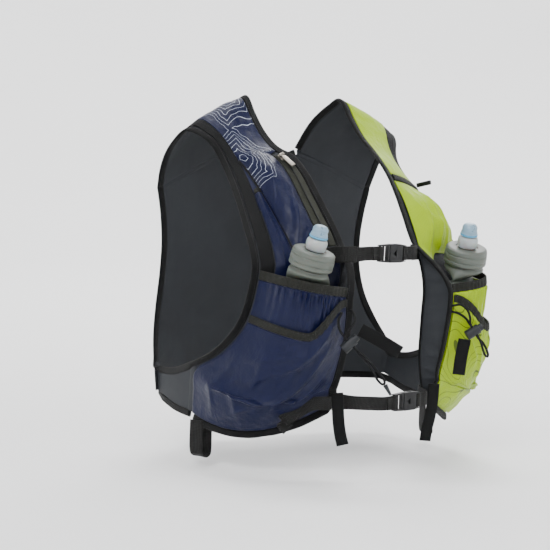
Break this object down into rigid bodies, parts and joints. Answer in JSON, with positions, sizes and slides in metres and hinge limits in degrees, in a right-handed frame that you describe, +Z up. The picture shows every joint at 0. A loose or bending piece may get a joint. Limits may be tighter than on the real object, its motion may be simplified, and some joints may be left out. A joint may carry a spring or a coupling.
{
  "type": "running hydration vest",
  "caption": "Close-fitting running vest in worn form, with chest pouches, bottle pockets holding soft flasks, drawcords and fastened front straps.",
  "frame": {"origin": "between the shoulders, level with the top of the shoulder straps at their neck side", "axes": "+Z up, the wearer faces -Y, the wearer's right is -X"},
  "size_m": [0.3432, 0.3245, 0.3904],
  "materials": {
    "base": "matt woven cloth",
    "mesh": "open black mesh",
    "binding": "matt stretch binding",
    "shell_navy": "thin ripstop with a soft sheen",
    "shell_lime": "thin ripstop with a soft sheen",
    "elastic": "ribbed elastic",
    "webbing": "woven webbing",
    "plastic": "moulded black",
    "metal": "dull bronze",
    "flask": "grey-green, slightly translucent",
    "clear": "clear, frosted",
    "cord": "braided cord"
  },
  "bodies": {
    "vest": {"front_panel_right": "base", "front_panel_left": "base", "back_panel": "base", "mesh_band_right": "mesh", "mesh_band_left": "mesh", "zip_band_left": "mesh", "binding_front_right": "binding", "binding_front_left": "binding", "binding_armhole_right": "binding", "binding_armhole_left": "binding", "binding_neck": "binding", "binding_hem": "binding", "gusset_binding_right": "binding", "gusset_binding_left": "binding", "pull_tab_right": "binding", "pull_tab_left": "binding", "bottle_pocket_right": "shell_navy", "front_pocket_right": "shell_navy", "pouch_right": "shell_navy", "stretch_pocket_right": "shell_navy", "bottle_pocket_left": "shell_lime", "front_pocket_left": "shell_lime", "pouch_left": "shell_lime", "shoulder_cover_left": "shell_lime", "upper_band_right": "elastic", "upper_band_left": "elastic", "lower_band_right": "elastic", "lower_band_left": "elastic", "stretch_pocket_rim_right": "elastic", "zip_right": "elastic", "sternum_strap_right": "webbing", "sternum_strap_left": "webbing", "waist_strap_right": "webbing", "waist_strap_left": "webbing", "strap_tail_right": "webbing", "label_tab_right": "webbing", "label_tab_left": "webbing", "side_loop_right": "webbing", "side_loop_left": "webbing", "sternum_buckle_male": "plastic", "sternum_buckle_female": "plastic", "waist_buckle_male": "plastic", "waist_buckle_female": "plastic", "zip_puller_left": "plastic", "cord_lock_barrel_right": "plastic", "cord_lock_barrel_left": "plastic", "cord_end_right": "plastic", "zip_slider_right": "metal", "flask_body_right": "flask", "flask_body_left": "flask", "cord_right": "cord", "cord_left": "cord"},
    "zip_pull": {"zip_pull_right": "metal"},
    "cord_lock_button_right": {"cord_lock_button_right": "plastic"},
    "cord_lock_button_left": {"cord_lock_button_left": "plastic"},
    "flask_cap_right": {"flask_cap_right": "flask", "flask_valve_right": "clear"},
    "flask_cap_left": {"flask_cap_left": "flask", "flask_valve_left": "clear"}
  },
  "joints": [
    {"name": "zip_pull", "type": "hinge", "parent": "vest", "child": "zip_pull", "pos_m": [-0.07468, -0.08079, -0.05693], "axis": [-0.8652, 0.1136, -0.4884], "range_deg": [0, 110]},
    {"name": "cord_lock_button_right", "type": "slide", "parent": "vest", "child": "cord_lock_button_right", "axis": [-0.6093, 0.3546, -0.7092], "range_m": [0, 0.003], "stiffness_N_per_m": 300, "springref_m": -0.002},
    {"name": "cord_lock_button_left", "type": "slide", "parent": "vest", "child": "cord_lock_button_left", "axis": [-0.7506, 0.3803, -0.5404], "range_m": [0, 0.003], "stiffness_N_per_m": 300, "springref_m": -0.002},
    {"name": "flask_cap_right", "type": "hinge", "parent": "vest", "child": "flask_cap_right", "pos_m": [-0.10812, -0.18332, -0.16889], "axis": [0.0899, -0.2498, 0.9641], "range_deg": [0, 270]},
    {"name": "flask_cap_left", "type": "hinge", "parent": "vest", "child": "flask_cap_left", "pos_m": [0.10812, -0.18332, -0.16889], "axis": [-0.0899, -0.2498, 0.9641], "range_deg": [0, 270]}
  ]
}
